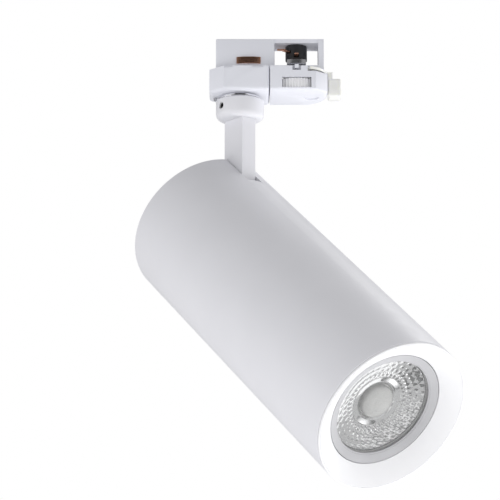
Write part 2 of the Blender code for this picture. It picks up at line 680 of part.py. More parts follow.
def phase_drum(frame):
    """Carries the three live contacts, one at each conductor's level."""
    top = MAST_HEIGHT - 2.4 * MM - GAP
    profile = [(0, top + 2 * MM), (1.9 * MM, top + 2 * MM), (1.9 * MM, top), (DRUM_RADIUS, top),
               (DRUM_RADIUS, DRUM_BOTTOM), (0, DRUM_BOTTOM)]
    drum = turned("phase_drum", profile, frame, 24)
    spacing = (top - DRUM_BOTTOM) / PHASE_LEVELS
    for level in range(PHASE_LEVELS):
        turn = -math.pi / 2 - level * PHASE_STEP
        middle = DRUM_BOTTOM + spacing * (level + 0.5)
        root = DRUM_RADIUS - 3 * MM
        slot = box(f"contact_slot_{level + 1}", (root - GAP, -CONTACT_WIDTH / 2 - GAP,
                                                 middle - CONTACT_THICKNESS / 2 - GAP),
                   (DRUM_RADIUS + 1 * MM, CONTACT_WIDTH / 2 + GAP,
                    middle + CONTACT_THICKNESS / 2 + GAP), frame)
        blade = box(f"live_contact_{level + 1}", (root, -CONTACT_WIDTH / 2, middle - CONTACT_THICKNESS / 2),
                    (CONTACT_REACH, CONTACT_WIDTH / 2, middle + CONTACT_THICKNESS / 2), frame)
        for piece in (slot, blade):
            spin = Matrix.Rotation(turn, 4, "Z")
            piece.location = spin @ piece.location
            piece.rotation_euler = (0, 0, turn)
        cut(drum, slot)
        finished(bevelled(blade, 0.25 * MM, 1), "copper")
    finished(drum, "black_plastic")


# ---------------------------------------------------------------- locking lever

def lock_lever(frame):
    first, last = FLANGE_ARC
    sector = arc((0, 0), FLANGE_RADIUS, first, last, 16)
    hub = arc((0, 0), HUB_RADIUS, last + 0.25, first + 2 * math.pi - 0.25, 20)
    lever = plate("lock_lever", sector + hub, FLANGE_BOTTOM, -GAP, frame)
    inner = FLANGE_RADIUS
    half = TAB_WIDTH / 2
    neck = box("lever_neck", (inner - 1.5 * MM, -half + 0.5 * MM, FLANGE_BOTTOM + 0.2 * MM),
               (inner + TAB_NECK, half - 0.5 * MM, -GAP - 0.2 * MM), frame)
    drop = box("lever_drop", (inner, -half + 0.5 * MM, TAB_TOP - 1.5 * MM),
               (inner + TAB_NECK, half - 0.5 * MM, -GAP - 0.2 * MM), frame)
    tab = bevelled(box("lever_tab", (inner, -half, TAB_BOTTOM), (inner + TAB_LENGTH, half, TAB_TOP), frame),
                   1.2 * MM, 3)
    for piece in (neck, drop, tab):
        join(lever, piece)
    cut(lever, rod("lever_bore", PHASE_SHAFT_RADIUS + GAP, (0, 0, FLANGE_BOTTOM - 1 * MM), (0, 0, 1 * MM),
                   frame, 24))
    finished(lever, "lever_plastic")


def lock_spindle(frame):
    top = BASE_FLOOR + GAP + WING_THICKNESS + 2 * GAP
    finished(ring("lock_spindle", SPINDLE_RADIUS, PHASE_SHAFT_RADIUS + GAP, 0, top, frame, 24), "steel")


def lock_wing(frame):
    """The claw that turns out over the track's lips. At rest it lies across the track."""
    low = BASE_FLOOR + GAP
    half = math.asin(WING_WIDTH / 2 / WING_REACH)
    right = arc((0, 0), WING_REACH, math.pi / 2 - half, math.pi / 2 + half, 8)
    left = arc((0, 0), WING_REACH, -math.pi / 2 - half, -math.pi / 2 + half, 8)
    bore = arc((0, 0), SPINDLE_RADIUS + GAP, 0, 2 * math.pi - 2 * math.pi / 32, 31)
    wing = plate("lock_wing", right + left, low, low + WING_THICKNESS, frame, holes=(bore,))
    finished(wing, "steel")


def neutral_contact(frame):
    low = BASE_FLOOR + WING_THICKNESS + 4 * GAP
    inner = PHASE_SHAFT_RADIUS + GAP
    bore = arc((0, 0), inner, 0, 2 * math.pi - 2 * math.pi / 24, 23)
    half = CONTACT_WIDTH / 2
    hub = arc((0, 0), inner + 1.5 * MM, math.pi / 2 + 0.35, math.pi * 2.5 - 0.35, 24)
    outline = hub + [(half, CONTACT_REACH), (-half, CONTACT_REACH)]
    finished(plate("neutral_contact", outline, low, low + CONTACT_THICKNESS, frame, holes=(bore,)),
             "copper")


# ---------------------------------------------------------------- swivel arm

def collar(frame):
    """Turns under the adapter on the nipple, and holds the arm in a pocket."""
    corner = arc((COLLAR_RADIUS - COLLAR_FILLET, COLLAR_BOTTOM + COLLAR_FILLET), COLLAR_FILLET, 0,
                 -math.pi / 2, 4)
    nipple_end = COLLAR_TOP - 7.6 * MM
    cavity = NIPPLE_RADIUS + 2.6 * MM
    cavity_top = nipple_end + 0.6 * MM
    cavity_bottom = COLLAR_BOTTOM + TENON - 0.6 * MM
    bore = NIPPLE_RADIUS + GAP
    profile = [(COLLAR_RADIUS - 0.4 * MM, COLLAR_TOP), (COLLAR_RADIUS, COLLAR_TOP - 0.4 * MM)]
    profile += corner
    profile += [(bore, COLLAR_BOTTOM), (bore, cavity_bottom), (cavity, cavity_bottom), (cavity, cavity_top),
                (bore, cavity_top), (bore, COLLAR_TOP)]
    body = turned("collar", profile, frame, ROUND)
    cut(body, box("arm_pocket", (-ARM_WIDTH / 2 - GAP, -ARM_THICKNESS / 2 - GAP, COLLAR_BOTTOM - 1 * MM),
                  (ARM_WIDTH / 2 + GAP, ARM_THICKNESS / 2 + GAP, COLLAR_BOTTOM + TENON), frame))
    cut(body, rod("grub_hole", GRUB_RADIUS + GAP, (0, -COLLAR_RADIUS - 1 * MM, GRUB_Z),
                  (0, -NIPPLE_RADIUS - 0.1 * MM, GRUB_Z), frame, SMALL))
    finished(body, "arm_white")


def grub_screw(frame):
    screw = rod("grub_screw", GRUB_RADIUS, (0, -COLLAR_RADIUS + 0.8 * MM, GRUB_Z),
                (0, -NIPPLE_RADIUS - GAP, GRUB_Z), frame, SMALL)
    cut(screw, rod("grub_socket", 0.95 * MM, (0, -COLLAR_RADIUS, GRUB_Z),
                   (0, -COLLAR_RADIUS + 2.4 * MM, GRUB_Z), frame, 6))
    finished(screw, "black_plastic")


def swivel_arm(frame):
    """A flat bar with a round end at the tilt axis, bored for the lead."""
    half = ARM_WIDTH / 2
    top = COLLAR_BOTTOM + TENON - GAP
    outline = [(half, -top), (-half, -top)] + arc((0, -HINGE_Z), half, math.pi, 0, 20)
    arm = plate("swivel_arm", outline, -ARM_THICKNESS / 2, ARM_THICKNESS / 2, frame)
    arm.data.transform(Matrix.Rotation(-math.pi / 2, 4, "X"))
    bevelled(arm, ARM_EDGE, 2)
    cut(arm, rod("axle_hole", AXLE_RADIUS + GAP, (0, -ARM_THICKNESS, HINGE_Z), (0, ARM_THICKNESS, HINGE_Z),
                 frame, 24))
    exit_z = HINGE_Z + half + WIRE_BORE
    cut(arm, rod("wire_bore", WIRE_BORE, (0, 0, top + 1 * MM), (0, 0, exit_z), frame, SMALL))
    cut(arm, rod("wire_exit", WIRE_BORE, (WIRE_BORE / 2, 0, exit_z), (-half - 1 * MM, 0, exit_z), frame,
                 SMALL))
    finished(arm, "arm_white")


def arm_lead(frame):
    """The mains lead, from the terminals down through the nipple and the arm to its lower exit."""
    exit_z = HINGE_Z + ARM_WIDTH / 2 + WIRE_BORE
    points = [(0, 0, -5 * MM), (0, 0, -25 * MM), (0, 0, -45 * MM), (0, 0, exit_z + 6 * MM),
              (-1 * MM, 0, exit_z + 2 * MM), (-4 * MM, 0, exit_z), (-ARM_WIDTH / 2 + 0.5 * MM, 0, exit_z)]
    finished_curve(wire("arm_lead", points, 1.6 * MM, frame), "wire_sheath")


def finished_curve(obj, material_name):
    obj.data.materials.append(material(material_name))


# ---------------------------------------------------------------- tilt hinge, in the lamp frame

def across(sign, distance):
    return sign * (ARM_THICKNESS / 2 + distance)


def friction_washers(frame):
    for sign, name in ((1, "near"), (-1, "far")):
        near, far = across(sign, GAP), across(sign, GAP + WASHER_THICKNESS)
        washer = rod("friction_washer_" + name, WASHER_RADIUS, (HINGE_RISE, near, 0), (HINGE_RISE, far, 0),
                     frame, 24)
        cut(washer, rod("washer_hole_" + name, AXLE_RADIUS + GAP, (HINGE_RISE, near * 0.8, 0),
                        (HINGE_RISE, far * 1.2, 0), frame, 24))
        finished(washer, "black_plastic")


def tilt_bracket(frame):
    """A fork of two cheeks on a foot, which carries the lamp on the axle."""
    inner = ARM_THICKNESS / 2 + WASHER_THICKNESS + 2 * GAP
    outer = inner + CHEEK_THICKNESS
    floor = HINGE_RISE - BRACKET_DROP
    foot = floor - CHEEK_THICKNESS
    bracket = box("tilt_bracket", (foot, -outer, -CHEEK_RADIUS),
                  (floor, outer, BRACKET_LENGTH - CHEEK_RADIUS), frame)
    outline = [(foot + 0.4 * MM, CHEEK_RADIUS), (foot + 0.4 * MM, -CHEEK_RADIUS)]
    outline += arc((HINGE_RISE, 0), CHEEK_RADIUS, -math.pi / 2, math.pi / 2, 14)
    for sign in (1, -1):
        cheek = plate(f"cheek_{sign}", outline, -CHEEK_THICKNESS / 2, CHEEK_THICKNESS / 2, frame)
        cheek.data.transform(Matrix.Rotation(math.pi / 2, 4, "X"))
        cheek.location = (0, sign * (inner + CHEEK_THICKNESS / 2), 0)
        join(bracket, cheek)
    cut(bracket, rod("bracket_bore", AXLE_RADIUS + GAP, (HINGE_RISE, -outer * 1.2, 0),
                     (HINGE_RISE, outer * 1.2, 0),
                     frame, 24))
    for place in bracket_screw_places():
        cut(bracket, rod("bracket_hole", 1.5 * MM + GAP, (foot - 1 * MM, 0, place),
                         (floor + 1 * MM, 0, place),
                         frame, SMALL))
    finished(bracket, "steel")


def bracket_screw_places():
    return (BRACKET_LENGTH - CHEEK_RADIUS - 10.5 * MM, BRACKET_LENGTH - CHEEK_RADIUS - 3.6 * MM)


def bracket_screws(frame):
    floor = HINGE_RISE - BRACKET_DROP
    for number, place in enumerate(bracket_screw_places()):
        profile = [(0, 1.9 * MM), (2.6 * MM, 1.9 * MM), (2.6 * MM, GAP), (1.5 * MM, GAP),
                   (1.5 * MM, CHASSIS_TOP - floor + GAP), (0, CHASSIS_TOP - floor + GAP)]
        screw = turned(f"bracket_screw_{number + 1}", profile, frame, SMALL)
        screw.location = (floor, 0, place)
        screw.rotation_euler = (0, math.pi / 2, 0)
        finished(screw, "steel")


def tilt_axle(frame):
    outer = ARM_THICKNESS / 2 + WASHER_THICKNESS + CHEEK_THICKNESS + 3 * GAP
    profile = [(0, outer + 2.4 * MM), (4 * MM, outer + 2.4 * MM), (4 * MM, outer), (AXLE_RADIUS, outer),
               (AXLE_RADIUS, -outer - 3.4 * MM), (0, -outer - 3.4 * MM)]
    axle = turned("tilt_axle", profile, frame, 24)
    axle.location = (HINGE_RISE, 0, 0)
    axle.rotation_euler = (-math.pi / 2, 0, 0)
    finished(axle, "steel")
    nut = rod("tilt_nut", 4.3 * MM, (HINGE_RISE, -outer - 2.8 * MM, 0), (HINGE_RISE, -outer, 0), frame, 6)
    cut(nut, rod("tilt_nut_hole", AXLE_RADIUS + GAP, (HINGE_RISE, -outer - 4 * MM, 0),
                 (HINGE_RISE, -outer + 1 * MM, 0),
                 frame, 24))
    finished(nut, "steel")


# ---------------------------------------------------------------- lamp housing

def housing_tube(frame):
    tube = ring("housing_tube", TUBE_RADIUS, TUBE_BORE, REAR_Z, TUBE_FRONT_Z, frame, FINE)
    cut(tube, box("arm_slot", (0.6 * TUBE_RADIUS, -SLOT_HALF_WIDTH, REAR_Z - 1 * MM),
                  (TUBE_RADIUS + 2 * MM, SLOT_HALF_WIDTH, SLOT_FRONT_Z), frame))
    finished(tube, "housing_white")


def cap_screw_places():
    """Both on the line across the cap, below the chassis plate's level."""
    return ((0, TUBE_BORE - 7 * MM), (0, 7 * MM - TUBE_BORE))


def rear_cap(frame):
    radius = TUBE_BORE - GAP
    back = REAR_Z + CAP_INSET
    cap = rod("rear_cap", radius, (0, 0, back), (0, 0, CAP_FRONT_Z), frame, FINE)
    cut(cap, box("cap_notch", (CAP_NOTCH_RISE, -SLOT_HALF_WIDTH, back - 1 * MM),
                 (TUBE_RADIUS, SLOT_HALF_WIDTH, CAP_FRONT_Z + 1 * MM), frame))
    for number in range(7):
        height = (-10 - 3.6 * number) * MM
        half = 0.55 * math.sqrt(radius ** 2 - height ** 2)
        cut(cap, box(f"vent_{number}", (height - 0.7 * MM, -half, back - 1 * MM),
                     (height + 0.7 * MM, half, CAP_FRONT_Z + 1 * MM), frame))
    for x, y in cap_screw_places():
        cut(cap, rod("cap_screw_hole", 1.5 * MM + GAP, (x, y, back - 1 * MM), (x, y, CAP_FRONT_Z + 1 * MM),
                     frame, SMALL))
    finished(cap, "housing_white")


def cap_screws(frame):
    back = REAR_Z + CAP_INSET
    for number, (x, y) in enumerate(cap_screw_places()):
        profile = [(0, CAP_FRONT_Z + 5 * MM), (1.5 * MM, CAP_FRONT_Z + 5 * MM), (1.5 * MM, back - GAP),
                   (2.7 * MM, back - GAP), (2.7 * MM, REAR_Z - 0.1 * MM), (0, REAR_Z - 0.1 * MM)]
        screw = turned(f"rear_cap_screw_{number + 1}", profile, frame, SMALL)
        screw.location = (x, y, 0)
        finished(screw, "steel")


def chassis_half_width():
    return math.sqrt(TUBE_BORE ** 2 - CHASSIS_TOP ** 2) - 1.5 * MM


def driver_chassis(frame):
    """The plate along the tube that the bracket and the driver are fixed to."""
    half = chassis_half_width()
    chassis = box("driver_chassis", (CHASSIS_BOTTOM, -half, CHASSIS_REAR_Z),
                  (CHASSIS_TOP, half, CHASSIS_FRONT_Z), frame)
    notch = CHASSIS_REAR_Z + 12 * MM
    cut(chassis, box("lead_way", (CHASSIS_BOTTOM - 1 * MM, -16 * MM, CHASSIS_REAR_Z - 1 * MM),
                     (CHASSIS_TOP + 1 * MM, -10 * MM, notch), frame))
    finished(chassis, "aluminium")


def driver_half_width():
    return math.sqrt(TUBE_BORE ** 2 - max(abs(DRIVER_TOP), abs(DRIVER_BOTTOM)) ** 2) - 8 * MM


def driver(frame):
    half = driver_half_width()
    low = (DRIVER_BOTTOM, -half, DRIVER_REAR_Z)
    high = (DRIVER_TOP, half, DRIVER_FRONT_Z)
    case = box("driver_case", low, high, frame)
    inside = [value + DRIVER_WALL for value in low]
    cut(case, box("driver_cavity", inside, (DRIVER_TOP + 1 * MM, half - DRIVER_WALL,
                                            DRIVER_FRONT_Z - DRIVER_WALL),
                  frame))
    finished(case, "black_plastic")
    board_low = DRIVER_BOTTOM + DRIVER_WALL + 2.5 * MM
    board_high = board_low + 1.6 * MM
    margin = DRIVER_WALL + 1 * MM
    board = box("driver_board", (board_low, -half + margin, DRIVER_REAR_Z + margin),
                (board_high, half - margin, DRIVER_FRONT_Z - margin), frame)
    finished(board, "circuit_green")
    middle = (DRIVER_REAR_Z + DRIVER_FRONT_Z) / 2
    base = board_high + GAP
    coil = box("driver_transformer", (base, -11 * MM, middle - 10 * MM),
               (base + 15 * MM, 11 * MM, middle + 10 * MM), frame)
    finished(bevelled(coil, 2 * MM), "winding_yellow")
    capacitor = rod("driver_capacitor", 6 * MM, (base + 6 * MM, -9 * MM, middle + 19 * MM),
                    (base + 6 * MM, 9 * MM, middle + 19 * MM), frame, 24)
    finished(bevelled(capacitor, 0.8 * MM), "capacitor_blue")


# ---------------------------------------------------------------- light engine

def heat_sink(frame):
    """A round base plate with fins that stand out from a solid core behind it."""
    radius = TUBE_BORE - 2 * GAP
    sink = rod("heat_sink", radius, (0, 0, SINK_PLATE_Z), (0, 0, SINK_FRONT_Z), frame, FINE)
    fin_radius = radius - 3 * MM
    outline = []
    pitch = 2 * math.pi / SINK_FINS
    for fin in range(SINK_FINS):
        centre = fin * pitch
        for reach, side in ((SINK_CORE_RADIUS, -1), (fin_radius, -1), (fin_radius, 1),
                            (SINK_CORE_RADIUS, 1)):
            angle = centre + side * math.asin(FIN_THICKNESS / 2 / reach)
            outline.append((reach * math.cos(angle), reach * math.sin(angle)))
    join(sink, plate("fins", outline, SINK_REAR_Z, SINK_PLATE_Z + 1 * MM, frame))
    for sign in (1, -1):
        x, y = lead_hole(sign)
        cut(sink, rod("lead_hole", 1.5 * MM, (x, y, SINK_PLATE_Z - 1 * MM), (x, y, SINK_FRONT_Z + 1 * MM),
                      frame, 12))
    use_manifold_solver(sink)
    finished(sink, "aluminium")


def lead_hole(sign):
    """Where an LED lead passes the heat sink: between two fins, beside the board."""
    reach = LED_BOARD_SIZE / 2 + 4 * MM
    angle = sign * (SINK_FINS // 4 + 0.5) * 2 * math.pi / SINK_FINS
    return reach * math.cos(angle), reach * math.sin(angle)


def led_leads(frame):
    for sign, name in ((1, "red"), (-1, "black")):
        x, y = lead_hole(sign)
        end = SINK_FRONT_Z + 2.2 * MM
        points = [(x, y, CHASSIS_FRONT_Z - 2 * MM), (x, y, SINK_REAR_Z + 8 * MM),
                  (x, y, SINK_FRONT_Z - 8 * MM),
                  (x, y, SINK_FRONT_Z), (x, y, end)]
        finished_curve(wire("led_lead_" + name, points, 0.8 * MM, frame), "wire_" + name)


def led_parts(frame):
    half = LED_BOARD_SIZE / 2
    pad = box("thermal_pad", (-half, -half, PAD_BACK_Z), (half, half, PAD_BACK_Z + PAD_THICKNESS), frame)
    finished(pad, "rubber")
    board = box("led_board", (-half, -half, LED_BACK_Z), (half, half, LED_FACE_Z), frame)
    finished(board, "ceramic_white")
    base = LED_FACE_Z + GAP
    top = GLASS_BOTTOM_Z - 0.9 * MM
    shoulder = top - DOME_HEIGHT
    profile = [(DOME_RADIUS * math.sin(angle), shoulder + DOME_HEIGHT * math.cos(angle))
               for angle in [step * math.pi / 10 for step in range(6)]]
    profile += [(DOME_RADIUS, base), (0, base)]
    finished(turned("led_dome", profile, frame, ROUND), "led_dome")


def optic_holder(frame):
    """The cup between the heat sink and the bezel, which centres the reflector and the glass."""
    outer = OPTIC_RADIUS + 2.4 * MM
    floor = LED_FACE_Z + GAP
    roof = floor + 1.2 * MM
    profile = [(outer, BAFFLE_Z - 2.2 * MM), (outer, SINK_FRONT_Z + GAP),
               (outer - 2 * MM, SINK_FRONT_Z + GAP),
               (outer - 2 * MM, floor), (NECK_RADIUS + 1.2 * MM, floor), (NECK_RADIUS + 1.2 * MM, roof),
               (OPTIC_RADIUS, roof), (OPTIC_RADIUS, BAFFLE_Z - 2.2 * MM)]
    finished(turned("optic_holder", profile, frame, ROUND), "black_plastic")


def reflector_profile(steps):
    """The mirror's front face, from the neck to the mouth: shallow inside and steeper at the rim."""
    points = []
    for step in range(steps + 1):
        share = step / steps
        radius = NECK_RADIUS + (MOUTH_RADIUS - NECK_RADIUS) * share
        points.append((radius, NECK_Z + REFLECTOR_DEPTH * share ** 1.5))
    return points


def reflector(frame):
    front = reflector_profile(5)
    back = [(radius, height - REFLECTOR_WALL) for radius, height in reversed(front)]
    rim = [(MOUTH_RADIUS + 3 * MM, MOUTH_Z), (MOUTH_RADIUS + 3 * MM, MOUTH_Z - REFLECTOR_WALL)]
    finished(turned("reflector", rim + back + front, frame, ROUND), "mirror")


def glass_and_trim(frame):
    radius = MOUTH_RADIUS + GLASS_OVERLAP
    glass = rod("front_glass", radius, (0, 0, GLASS_BOTTOM_Z), (0, 0, GLASS_TOP_Z), frame, ROUND)
    finished(glass, "clear_glass")
    gasket = ring("glass_gasket", TRIM_RADIUS, radius + GAP, GLASS_BOTTOM_Z, GLASS_TOP_Z, frame, ROUND)
    finished(gasket, "silicone")
    outer_top = TRIM_BOTTOM_Z + TRIM_LIP + TRIM_SLOPE
    profile = [(TRIM_RADIUS, outer_top), (TRIM_RADIUS, TRIM_BOTTOM_Z), (MOUTH_RADIUS, TRIM_BOTTOM_Z),
               (MOUTH_RADIUS, TRIM_BOTTOM_Z + TRIM_LIP)]
    finished(turned("trim_ring", profile, frame, ROUND), "trim_grey")


def front_bezel(frame):
    """The white lip and sloping baffle in front, with a skirt inside the tube."""
    lip_bottom = RIM_Z - LIP_HEIGHT
    skirt = TUBE_BORE - GAP
    outer = TUBE_RADIUS - 0.25 * MM
    slope = BAFFLE_DEPTH / BAFFLE_WIDTH
    holder = OPTIC_RADIUS + 2.4 * MM
    back_top = skirt - BEZEL_WALL
    profile = [(LIP_RADIUS, RIM_Z), (outer, RIM_Z), (outer, lip_bottom), (skirt, lip_bottom),
               (skirt, RIM_Z - BEZEL_SKIRT), (back_top, RIM_Z - BEZEL_SKIRT),
               (back_top, RIM_Z - (LIP_RADIUS - back_top) * slope - BEZEL_WALL),
               (holder, BAFFLE_Z - 1.9 * MM + (holder - OPTIC_RADIUS) * slope),
               (OPTIC_RADIUS, BAFFLE_Z - 1.9 * MM), (OPTIC_RADIUS, BAFFLE_Z)]
    finished(turned("front_bezel", profile, frame, FINE), "bezel_white")


# ---------------------------------------------------------------- assembly

def build_adapter(frame):
    for make in (adapter_shell_left, adapter_shell_right, track_mast, shell_screws, earth_springs,
                 terminals,
                 nipple_and_nut, swivel_ring, swivel_stop):
        make(frame)


def build_controls(adapter):
    phase_axis = frame_empty("phase_axis", adapter, (PIVOT_X, 0, 0))
    phase_wheel(phase_axis)
    phase_drum(phase_axis)
    lever_axis = frame_empty("lever_axis", adapter, (PIVOT_X, 0, 0))
    for make in (lock_lever, lock_spindle, lock_wing, neutral_contact):
        make(lever_axis)


def build_arm(swivel_axis):
    for make in (collar, grub_screw, swivel_arm, arm_lead):
        make(swivel_axis)


def build_lamp(swivel_axis):
    tilt_axis = frame_empty("tilt_axis", swivel_axis, (0, 0, HINGE_Z), Matrix.Rotation(LAMP_TILT, 3, "Y"))
    beam_up = Matrix(((0, 0, 1), (0, -1, 0), (1, 0, 0)))
    lamp = frame_empty("lamp", tilt_axis, (0, 0, -HINGE_RISE), beam_up)
    for make in (friction_washers, tilt_bracket, bracket_screws, tilt_axle, housing_tube, rear_cap,
                 cap_screws,
                 driver_chassis, driver, heat_sink, led_leads, led_parts, optic_holder, reflector,
                 glass_and_trim, front_bezel):
        make(lamp)


def main():
    clear_scene()
    adapter = frame_empty("adapter", None)
    build_adapter(adapter)
    build_controls(adapter)
    swivel_axis = frame_empty("swivel_axis", adapter, rotation=Matrix.Rotation(LAMP_YAW, 3, "Z"))
    build_arm(swivel_axis)
    build_lamp(swivel_axis)


main()
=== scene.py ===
"""Looks of the track spotlight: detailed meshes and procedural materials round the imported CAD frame."""
import json
import math

import bmesh
import bpy
from mathutils import Matrix, Vector


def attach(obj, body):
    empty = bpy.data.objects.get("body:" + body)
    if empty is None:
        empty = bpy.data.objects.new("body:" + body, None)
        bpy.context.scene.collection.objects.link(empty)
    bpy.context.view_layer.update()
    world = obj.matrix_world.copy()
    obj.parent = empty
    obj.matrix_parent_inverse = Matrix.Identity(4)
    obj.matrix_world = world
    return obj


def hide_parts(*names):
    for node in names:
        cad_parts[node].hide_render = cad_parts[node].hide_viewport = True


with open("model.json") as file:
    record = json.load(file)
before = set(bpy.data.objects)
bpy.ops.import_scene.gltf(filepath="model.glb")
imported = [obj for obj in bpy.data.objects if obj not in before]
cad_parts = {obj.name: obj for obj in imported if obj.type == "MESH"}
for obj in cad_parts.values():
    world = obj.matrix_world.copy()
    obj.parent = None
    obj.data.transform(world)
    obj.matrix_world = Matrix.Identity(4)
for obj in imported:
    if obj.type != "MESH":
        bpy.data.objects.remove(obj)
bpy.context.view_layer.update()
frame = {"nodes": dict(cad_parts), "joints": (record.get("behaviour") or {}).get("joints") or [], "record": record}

MM = 0.001

# Camera, which looks up at the lamp from well below the track
CAMERA_PLACE = Vector((5.8, -1416.8, -442.4)) * MM
CAMERA_PITCH = math.radians(13.37)
LENS = 182.6
SENSOR_WIDTH = 36
FLOOR_Z = -1.1

# Sizes that repeat the CAD's
TUBE_RADIUS = 45 * MM
TUBE_WALL = 2 * MM
HINGE_DEPTH = 11.25 * MM
REAR_Z = -17.1 * MM
RIM_Z = 194.8 * MM
TUBE_FRONT_Z = 193.35 * MM
ARM_WIDTH = 16.4 * MM
ARM_THICKNESS = 9.8 * MM
BAFFLE_DEPTH = 7.15 * MM
LIP_RADIUS = 43.6 * MM
OPTIC_RADIUS = 33.6 * MM
MOUTH_RADIUS = 28.3 * MM
NECK_RADIUS = 10.5 * MM
DOME_RADIUS = 9.4 * MM
DOME_BASE_Z = 175.95 * MM
DOME_SHOULDER_Z = 179.55 * MM
DOME_TOP_Z = 182.05 * MM
WHEEL_RADIUS = 15.9 * MM
WHEEL_BOTTOM_Z = -12.7 * MM
WHEEL_TOP_Z = -7 * MM
SHAFT_RADIUS = 2.8 * MM
SHAFT_TOP_Z = 7.4 * MM
PIVOT_X = 32.8 * MM
RING_HEIGHT = 2.8 * MM
GLASS_THICKNESS = 1.4 * MM
SEAT_GAP = 0.3 * MM
RING_GAP = 0.2 * MM
DISH_DEPTH = 4.4 * MM

# The look's own: the dish's facets and the wheel's ribs
FACET_COLUMNS = 40
FACET_ROWS = 4
FACET_START = 15.2 * MM
FACET_BULGE = 0.24 * MM
STEP_CREST = 14.9 * MM
STEP_HEIGHT = 0.12 * MM
PARTS_ACROSS_FACET = 4
RIBS = 54
RIB_DEPTH = 0.7 * MM

joints = {joint["name"]: joint for joint in frame["joints"]}


# ---------------------------------------------------------------- frames

def arm_frame():
    """Origin on the swivel axis, X the way the lamp faces, Y along the tilt axis, Z up."""
    across = Vector(joints["tilt"]["axis"]).normalized()
    up = Vector((0, 0, 1))
    facing = across.cross(up)
    return Matrix((facing, across, up)).transposed().to_4x4()


def lamp_frame():
    """Origin on the tube's axis, level with the hinge: Z along the beam, X up to the arm's side."""
    tilt = math.radians(-joints["tilt"]["range_deg"][0])
    tilted = Matrix.Rotation(tilt, 4, "Y") @ Matrix.Translation((0, 0, -(TUBE_RADIUS - HINGE_DEPTH)))
    beam_up = Matrix(((0, 0, 1), (0, -1, 0), (1, 0, 0))).to_4x4()
    return Matrix.Translation(joints["tilt"]["pos_m"]) @ ARM @ tilted @ beam_up


ARM = arm_frame()
LAMP = lamp_frame()
PIVOT = Matrix.Translation((PIVOT_X, 0, 0))
WORLD = Matrix.Identity(4)


# ---------------------------------------------------------------- mesh tools

def add_object(name, bm, place=WORLD, smooth=35):
    """A mesh object in the world, smooth-shaded but for the edges sharper than the given angle."""
    mesh = bpy.data.meshes.new(name)
    bm.to_mesh(mesh)
    bm.free()
    mesh.transform(place)
    obj = bpy.data.objects.new(name, mesh)
    bpy.context.scene.collection.objects.link(obj)
    mesh.shade_smooth()
    mesh.set_sharp_from_angle(angle=math.radians(smooth))
    return obj


def arc(centre, radius, first, last, steps):
    """Points along a circle, from the first angle to the last."""
    angles = [first + (last - first) * step / steps for step in range(steps + 1)]
    return [(centre[0] + radius * math.cos(angle), centre[1] + radius * math.sin(angle))
            for angle in angles]


def turned(name, profile, place, steps=128, smooth=35):
    """A solid of revolution about the frame's Z. The profile runs down its outer side."""
    bm = bmesh.new()
    rings = []
    for radius, height in profile:
        if radius < 1e-6:
            rings.append([bm.verts.new((0, 0, height))])
        else:
            turns = [2 * math.pi * step / steps for step in range(steps)]
            rings.append([bm.verts.new((radius * math.cos(turn), radius * math.sin(turn), height))
                          for turn in turns])
    pairs = list(zip(rings, rings[1:]))
    if profile[0][0] > 1e-6:
        pairs.append((rings[-1], rings[0]))
    for upper, lower in pairs:
        for step in range(steps):
            after = (step + 1) % steps
            if len(upper) == 1:
                bm.faces.new((upper[0], lower[step], lower[after]))
            elif len(lower) == 1:
                bm.faces.new((upper[step], lower[0], upper[after]))
            else:
                bm.faces.new((upper[step], lower[step], lower[after], upper[after]))
    bmesh.ops.recalc_face_normals(bm, faces=bm.faces)
    return add_object(name, bm, place, smooth)


def slab(name, outline, low, high, place, edge=0.0, smooth=35):
    """An outline in X and Y with a thickness along Z and rounded rims."""
    bm = bmesh.new()
    base = bm.faces.new([bm.verts.new((x, y, low)) for x, y in outline])
    top = bmesh.ops.extrude_face_region(bm, geom=[base])
    moved = [item for item in top["geom"] if isinstance(item, bmesh.types.BMVert)]
    bmesh.ops.translate(bm, verts=moved, vec=(0, 0, high - low))
    bmesh.ops.recalc_face_normals(bm, faces=bm.faces)
    if edge:
        sharp = [item for item in bm.edges if item.calc_face_angle(0) > math.radians(40)]
        bmesh.ops.bevel(bm, geom=sharp, offset=edge, segments=2, profile=0.5, affect="EDGES",
                        clamp_overlap=True)
    return add_object(name, bm, place, smooth)


def block(name, low, high, place):
    outline = [(low[0], low[1]), (high[0], low[1]), (high[0], high[1]), (low[0], high[1])]
    return slab(name, outline, low[2], high[2], place)


def cylinder(name, radius, start, end, place, sides=48):
    start, end = Vector(start), Vector(end)
    along = end - start
    lay = Matrix.Translation(start) @ along.to_track_quat("Z", "Y").to_matrix().to_4x4()
    outline = arc((0, 0), radius, 0, 2 * math.pi * (sides - 1) / sides, sides - 1)
    return slab(name, outline, 0, along.length, place @ lay)


def apply_boolean(obj, tool, operation="DIFFERENCE"):
    """Cut or join at once, and remove the tool."""
    step = obj.modifiers.new("cut", "BOOLEAN")
    step.operation = operation
    step.solver = "EXACT"
    step.object = tool
    graph = bpy.context.evaluated_depsgraph_get()
    mesh = bpy.data.meshes.new_from_object(obj.evaluated_get(graph))
    obj.modifiers.clear()
    old = obj.data
    obj.data = mesh
    bpy.data.meshes.remove(old)
    bpy.data.objects.remove(tool, do_unlink=True)
    mesh.set_sharp_from_angle(angle=math.radians(35))
    return obj


def piece(obj, body, material, slot_name, *nodes):
    """Finish a new piece: its material, the body it rides on and the CAD nodes it stands for."""
    obj.data.materials.clear()
    obj.data.materials.append(material)
    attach(obj, body)
    if nodes:
        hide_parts(*nodes)
    return obj


# ---------------------------------------------------------------- materials

def nodes_of(name):
    """A new material, its node tree and its shader."""
    material = bpy.data.materials.new(name)
    material.use_nodes = True
    tree = material.node_tree
    shader = tree.nodes["Principled BSDF"]
    return material, tree, shader


